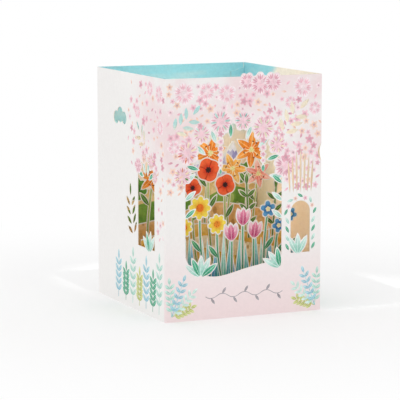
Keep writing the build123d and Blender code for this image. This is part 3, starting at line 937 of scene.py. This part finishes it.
flower_sheet, flower_path, flower_half = start_layer("flower_layer")
stand_ground(flower_sheet, bank_field, (30, 27, 31, 28, 31, 29), flower_half, 0.0)
blade_pitch, blade_width, blade_height = 4.0, 6.4, 57.0
blade_count = int(2 * (flower_half - blade_width) / blade_pitch)
blades = []
for blade in range(blade_count):
    place = (blade - (blade_count - 1) / 2) * blade_pitch
    rise = 4 * math.sin(1.9 * blade) + 3 * math.sin(0.7 * blade)
    blades.append(((place, grass_foot), (place + 2.5 * math.sin(2.3 * blade), blade_height + rise)))
    flower_sheet.card(bough(*blades[-1], 0, blade_width, 0.4, facets=1))
for place, (foot, tip) in enumerate(blades):
    finish = (teal_blade, blue_blade, teal_blade, mint_blade)[place % 4]
    lower = (foot[0], foot[1] - 4)
    short = tuple(Vector(tip) + (Vector(foot) - Vector(tip)) * 0.07)
    flower_sheet.ink(finish, bough(lower, short, 0, blade_width - 0.9, 0.25, facets=2))
daisies = ((-27, 80, 9.5), (-13, 67, 8.1), (-40, 66, 7.6))
for x, z, size in daisies:
    stand_stalk(flower_sheet, (x + 4, grass_foot), (x, z), 1.5, 0.4, 128, stem_green, stalk_green)
tulips = ((-1, 53, 4), (8, 64, -3), (17, 54, -8))
tulip_spread, tulip_card, tulip_print = (110, 70, 90), (15.0, 7.0), (12.6, 5.2)
for x, z, turn in tulips:
    stem = ((x, grass_foot), (x, z + 2), 0)
    flower_sheet.card(bough(*stem, stem_width, stem_width, facets=1))
    flower_sheet.ink(stem_green, bough(*stem, stem_print, stem_print, facets=1))
bells = ((29, 76, 7.0), (38, 63, 6.3), (48, 71, 5.9))
for x, z, size in bells:
    stand_stalk(flower_sheet, (x - 3, grass_foot), (x, z), 1.5, 0.4, 52, stem_green, stalk_green)
for x, z, size in daisies:
    stand_head(flower_sheet, daisy_petal, (x, z), size, 8, x, 0.2, 0.26)
    flower_sheet.ink(daisy_heart, disc((x, z), size * 0.32))
for x, z, turn in tulips:
    for petal in tulip_spread:
        flower_sheet.card(leaf((x, z), petal + turn, *tulip_card))
    for petal in tulip_spread:
        finish = tulip_heart if petal == 90 else tulip_petal
        flower_sheet.ink(finish, leaf(toward((x, z), petal + turn, 0.8), petal + turn, *tulip_print))
for x, z, size in bells:
    stand_head(flower_sheet, bell_petal, (x, z), size, 5, 2 * x, 0.3, 0.38)
    flower_sheet.ink(bell_heart, blossom((x, z), size * 0.3, 5, turn=2 * x, notch=0.2, facets=5))
finish_layer(flower_sheet, "flower_layer", flower_path)


# Meadow layer, behind the flowers: one die-cut sheet with a rolling ochre meadow, a cream path, red poppies
# and dark leafy sprigs, printed in matt inks and glued in by its two tabs.
ochre_field = field_ink("ochre_field", "E2B04A", "F0CB78", "B39C40", 150.0)
path_field = field_ink("path_field", "F8E8C4", "F0D8A8", "D0A868", 170.0, 0.2)
poppy_petal = petal_ink("poppy_petal", "DE3A1C", "FA6E3E", "BC3014", 2.0)
poppy_heart = petal_ink("poppy_heart", "2C1518", "4A2424", "1A0C0E")
poppy_stem = leaf_ink("poppy_stem", "7C9A3C", "AEC462", "D5E0A6")
dark_leaf = leaf_ink("dark_leaf", "3A6B28", "5C9440", "A9C888")

meadow_sheet, meadow_path, meadow_half = start_layer("meadow_layer")
stand_ground(meadow_sheet, ochre_field, (54, 60, 64, 58, 55, 62), meadow_half, die_rim)
path_top, path_foot = (44, 47, 54, 50, 44, 40), (38, 42, 45, 38, 34, 36)
meadow_sheet.ink(path_field, ground(path_top, meadow_half))
meadow_sheet.ink(ochre_field, ground(path_foot, meadow_half))
sprig_card, sprig_print = (3, 10.0, 4.0, stem_width), (3, 8.8, 2.8, stem_print)
for x, top, lean in ((-42, 90, 2), (27, 92, -2), (47, 88, 3)):
    ends = ((x, 50), (x + lean, top))
    meadow_sheet.card(*sprig(*ends, *sprig_card))
    meadow_sheet.ink(dark_leaf, *sprig(*ends, *sprig_print))
poppies = ((-7, 104, 10.0), (7, 92, 9.0), (-20, 91, 8.0))
for x, z, size in poppies:
    stand_stalk(meadow_sheet, (x + 5, tab_height), (x, z), 2, 0.62, 58, poppy_stem, dark_leaf)
for x, z, size in poppies:
    stand_head(meadow_sheet, poppy_petal, (x, z), size, 4, 3 * x, 0.12, 0.14)
    meadow_sheet.ink(poppy_heart, blossom((x, z), size * 0.26, 7, turn=x, notch=0.3, facets=4))
finish_layer(meadow_sheet, "meadow_layer", meadow_path)


# Lily layer: one die-cut sheet with tall orange, amber and pink lilies over a sandy bank, glued in by its two
# tabs. Three petals of each head lie over the other three, and fine stamens spread from its pale throat.
lily_petal_length, lily_petal_width, lily_heart = 19.0, 7.6, 3.2
throat_radius, stamen_length = 2.6, 6.6
sandy_field = field_ink("sandy_field", "E2B06C", "F0C88E", "B5854A", 140.0)
orange_petal = leaf_ink("orange_petal", "EE7418", "FFAE4C", "FFDCA0")
orange_back = leaf_ink("orange_back", "E0660F", "F79A36", "FFC982")
amber_petal = leaf_ink("amber_petal", "F59D32", "FFD479", "FFEFC4")
amber_back = leaf_ink("amber_back", "EB8B22", "FBC25E", "FFE2A8")
coral_petal = leaf_ink("coral_petal", "EE7C6E", "FDC9C0", "FEE9E4")
coral_back = leaf_ink("coral_back", "E26A5E", "F7B0A6", "FDD8D0")
lily_throat = petal_ink("lily_throat", "D8E08A", "F6EEB0", "B9C45C")
stamen_ink = leaf_ink("stamen_ink", "F3E2A0", "F8EFC8", "FFFFFF")
anther_ink = leaf_ink("anther_ink", "7A2A12", "99401C", "B4602E")


def stand_lily(centre, size, turn, over, under):
    """Six petals left standing and printed, three over three, with the throat and stamens on top."""
    petals = []
    for petal in (1, 3, 5, 0, 2, 4):
        angle = turn + 60 * petal
        base = toward(centre, angle, -lily_heart * size)
        petals.append((base, angle, under if petal % 2 else over))
        lily_sheet.card(leaf(base, angle, lily_petal_length * size, lily_petal_width * size))
    for base, angle, finish in petals:
        printed = (lily_petal_length - 1.6) * size - 0.6, lily_petal_width * size - 1.5
        lily_sheet.ink(finish, leaf(toward(base, angle, 0.8), angle, *printed))
    lily_sheet.ink(lily_throat, blossom(centre, throat_radius * size, 6, turn, notch=0.4, facets=6))
    for stamen in range(6):
        angle = turn + 60 * stamen + 30 * (stamen % 2) - 8
        end = toward(centre, angle, stamen_length * size)
        lily_sheet.ink(stamen_ink, bough(centre, end, 0.5, 0.55, 0.45, facets=3))
        lily_sheet.ink(anther_ink, leaf(toward(end, angle + 90, -1.2), angle + 90, 2.4, 1.0, facets=5))


lily_sheet, lily_path, lily_half = start_layer("lily_layer")
stand_ground(lily_sheet, sandy_field, (60, 64, 70, 75, 71, 65), lily_half, die_rim)
lilies = ((-40, 96, 0.85), (-16, 107, 0.95), (8, 113, 0.95), (27, 100, 0.9), (43, 114, 1.0), (49, 95, 0.8))
for x, z, size in lilies:
    stand_stalk(lily_sheet, (x - 5, tab_height), (x, z), 2, 0.7, 125, poppy_stem, dark_leaf)
orange, coral, amber = (orange_petal, orange_back), (coral_petal, coral_back), (amber_petal, amber_back)
for (x, z, size), inks in zip(lilies, (orange, coral, orange, amber, orange, coral)):
    stand_lily((x, z), size, 2 * x, *inks)
finish_layer(lily_sheet, "lily_layer", lily_path)


# Hill layer, at the back: one die-cut sheet with sand and green hills and dark bushes in front of two
# lavender peaks with pale caps, printed in matt inks and glued in by its two tabs.
hill_field = field_ink("hill_field", "6E9A40", "8DB24E", "BFD07A", 120.0)
far_field = field_ink("far_field", "EBC682", "F7DAA2", "C8AC58", 140.0)
bush_green = petal_ink("bush_green", "40792C", "659C3E", "2F6022", 2.0)
peak_light = field_ink("peak_light", "C3BBE0", "D2CCEA", "E6E2F4", 300.0, 0.2)
peak_shade = field_ink("peak_shade", "9A91CB", "ABA4D6", "C3BDE4", 260.0, 0.2)
peak_cap = field_ink("peak_cap", "F3F0F8", "FAF8FC", "DCD7EC", 300.0, 0.16)
peak_height, peak_width, peak_tip = 118.0, 54.0, 1.5


def stand_peak(foot, tip, width):
    """Peak left standing, then printed with a sunny flank, a shaded flank and a ragged pale cap."""
    hill_sheet.card(bough(foot, tip, 0, width, peak_tip, facets=1))
    low, high = Vector(foot), Vector(tip) - Vector((0.0, 1.4 * die_rim))
    half = width / 2 - die_rim

    def on_flank(side, share):
        return tuple(low.lerp(high, share) + Vector((side * half * (1 - share), 0.0)))

    hill_sheet.ink(peak_light, plain([on_flank(-1, 0), on_flank(0.3, 0), on_flank(0, 1)]))
    ridge = [on_flank(0.15, 0.8), on_flank(-0.15, 0.6), on_flank(0.4, 0.4)]
    hill_sheet.ink(peak_shade, plain([on_flank(0.3, 0), on_flank(1, 0), on_flank(0, 1), *ridge]))
    ragged = [on_flank(-1, 0.88), on_flank(-0.4, 0.84), on_flank(0.1, 0.89), on_flank(0.5, 0.83)]
    hill_sheet.ink(peak_cap, plain([*ragged, on_flank(1, 0.87), on_flank(0, 1)]))


hill_sheet, hill_path, hill_half = start_layer("hill_layer")
hill_heights = (70, 84, 80, 86, 92, 82)
near_hills = (60, 72, 74, 73, 82, 76)
hill_sheet.card(ground(hill_heights, hill_half))
for x, lean, size in ((12, -2, 0.9), (34, 7, 1.0)):
    stand_peak((x, min(hill_heights)), (x + lean, peak_height * size), peak_width * size)
hill_sheet.ink(far_field, ground(hill_heights, hill_half, die_rim))
bushes = ((-42, 84, 10.0), (-18, 82, 8.0), (5, 86, 9.0), (52, 92, 10.0))
for x, z, size in bushes:
    stand_head(hill_sheet, bush_green, (x, z), size, 7, x, 0.2, 0.2)
hill_sheet.ink(hill_field, ground(near_hills, hill_half))
finish_layer(hill_sheet, "hill_layer", hill_path)


# Floor and light: a plain white table top under soft studio lamps, and two narrow lamps that shine through
# the card's open top to show its inside. The camera stands a little above the card, to the left of its front.
def shows_backdrop(tree):
    """One for rays that show the backdrop itself, straight to the camera or by way of gloss or glass."""
    rays = put(tree, "ShaderNodeLightPath").outputs
    mirrored = reckon(tree, "MAXIMUM", rays["Is Glossy Ray"], rays["Is Transmission Ray"])
    return reckon(tree, "MAXIMUM", rays["Is Camera Ray"], mirrored)


def start_floor_finish():
    """White table top that shows the card's shadow and goes over into the white backdrop further out."""
    fade_start, fade_end = 0.12, 0.42
    material, tree = start_finish("floor_white")
    shader = tree.nodes["Principled BSDF"]
    shade = blend(tree, cloudiness(tree, 4), (0.95, 0.95, 0.95, 1.0), (0.97, 0.97, 0.97, 1.0))
    tree.links.new(shade, shader.inputs["Base Color"])
    shader.inputs["Roughness"].default_value = 0.9
    shader.inputs["Specular IOR Level"].default_value = 0.0
    away = put(tree, "ShaderNodeVectorMath", {0: card_place(tree)}, operation="LENGTH").outputs["Value"]
    far = reckon(tree, "MULTIPLY", between(tree, away, fade_start, fade_end), shows_backdrop(tree))
    glow = put(tree, "ShaderNodeEmission", {"Strength": 1.0}).outputs["Emission"]
    mixed = put(tree, "ShaderNodeMixShader", {0: far, 1: shader.outputs["BSDF"], 2: glow})
    tree.links.new(mixed.outputs["Shader"], tree.nodes["Material Output"].inputs["Surface"])
    return material


floor_reach = 12.0
floor_mesh = bpy.data.meshes.new("floor")
floor_corners = [(x * floor_reach, y * floor_reach, 0.0) for x, y in ((-1, -1), (1, -1), (1, 1), (-1, 1))]
floor_mesh.from_pydata(floor_corners, [], [(0, 1, 2, 3)])
floor_mesh.materials.append(start_floor_finish())
floor = set_out("floor", floor_mesh)

world = bpy.data.worlds.new("studio")
bpy.context.scene.world = world
world.use_nodes = True
world_tree = world.node_tree
backdrop = world_tree.nodes["Background"]
backdrop.inputs["Color"].default_value = (1.0, 1.0, 1.0, 1.0)
studio_light = 0.88  # what the white backdrop sheds on the card
strength = between(world_tree, shows_backdrop(world_tree), 0.0, 1.0, studio_light, 1.0)
world_tree.links.new(strength, backdrop.inputs["Strength"])


def hang_lamp(data, place, aim, watts):
    """Sets a lamp in its place and turns it to what it lights."""
    data.energy = watts
    lamp = set_out(data.name, data)
    lamp.location = place
    lamp.rotation_euler = (Vector(aim) - Vector(place)).to_track_quat("-Z", "Y").to_euler()


def soft_lamp(name, place, size, watts):
    """Broad round lamp that lights the whole card."""
    data = bpy.data.lights.new(name, "AREA")
    data.shape = "DISK"
    data.size = size
    hang_lamp(data, place, card_middle, watts)


def inside_lamp(name, place, aim, watts):
    """Narrow lamp that shines through the card's open top and lights its inside only."""
    data = bpy.data.lights.new(name, "SPOT")
    data.spot_size = math.radians(4.6)
    data.spot_blend = 0.5
    data.shadow_soft_size = 0.04
    hang_lamp(data, place, (*aim, panel_height * MM), watts)


card_middle = (0.0, 0.0, 0.09)
soft_lamp("front_lamp", (0.35, -1.3, 1.1), 1.2, 1.0)
soft_lamp("side_lamp", (-1.4, -0.3, 0.9), 1.2, 1.3)
soft_lamp("top_lamp", (-0.1, 0.0, 1.6), 1.0, 2.0)
inside_lamp("inside_front_lamp", (0.0, -0.55, 1.25), (0.0, 0.015), 50.0)
inside_lamp("inside_left_lamp", (-0.55, -0.02, 1.25), (0.012, -0.005), 42.0)

camera_data = bpy.data.cameras.new("camera")
camera_data.lens = 180.0
camera_data.sensor_width = 36.0
camera = set_out("camera", camera_data)
camera_tilt, camera_turn = 82.0, -24.02
camera.location = (-0.6231, -1.3851, 0.2918)
camera.rotation_euler = (math.radians(camera_tilt), 0.0, math.radians(camera_turn))
bpy.context.scene.camera = camera
bpy.context.scene.view_settings.view_transform = "Standard"
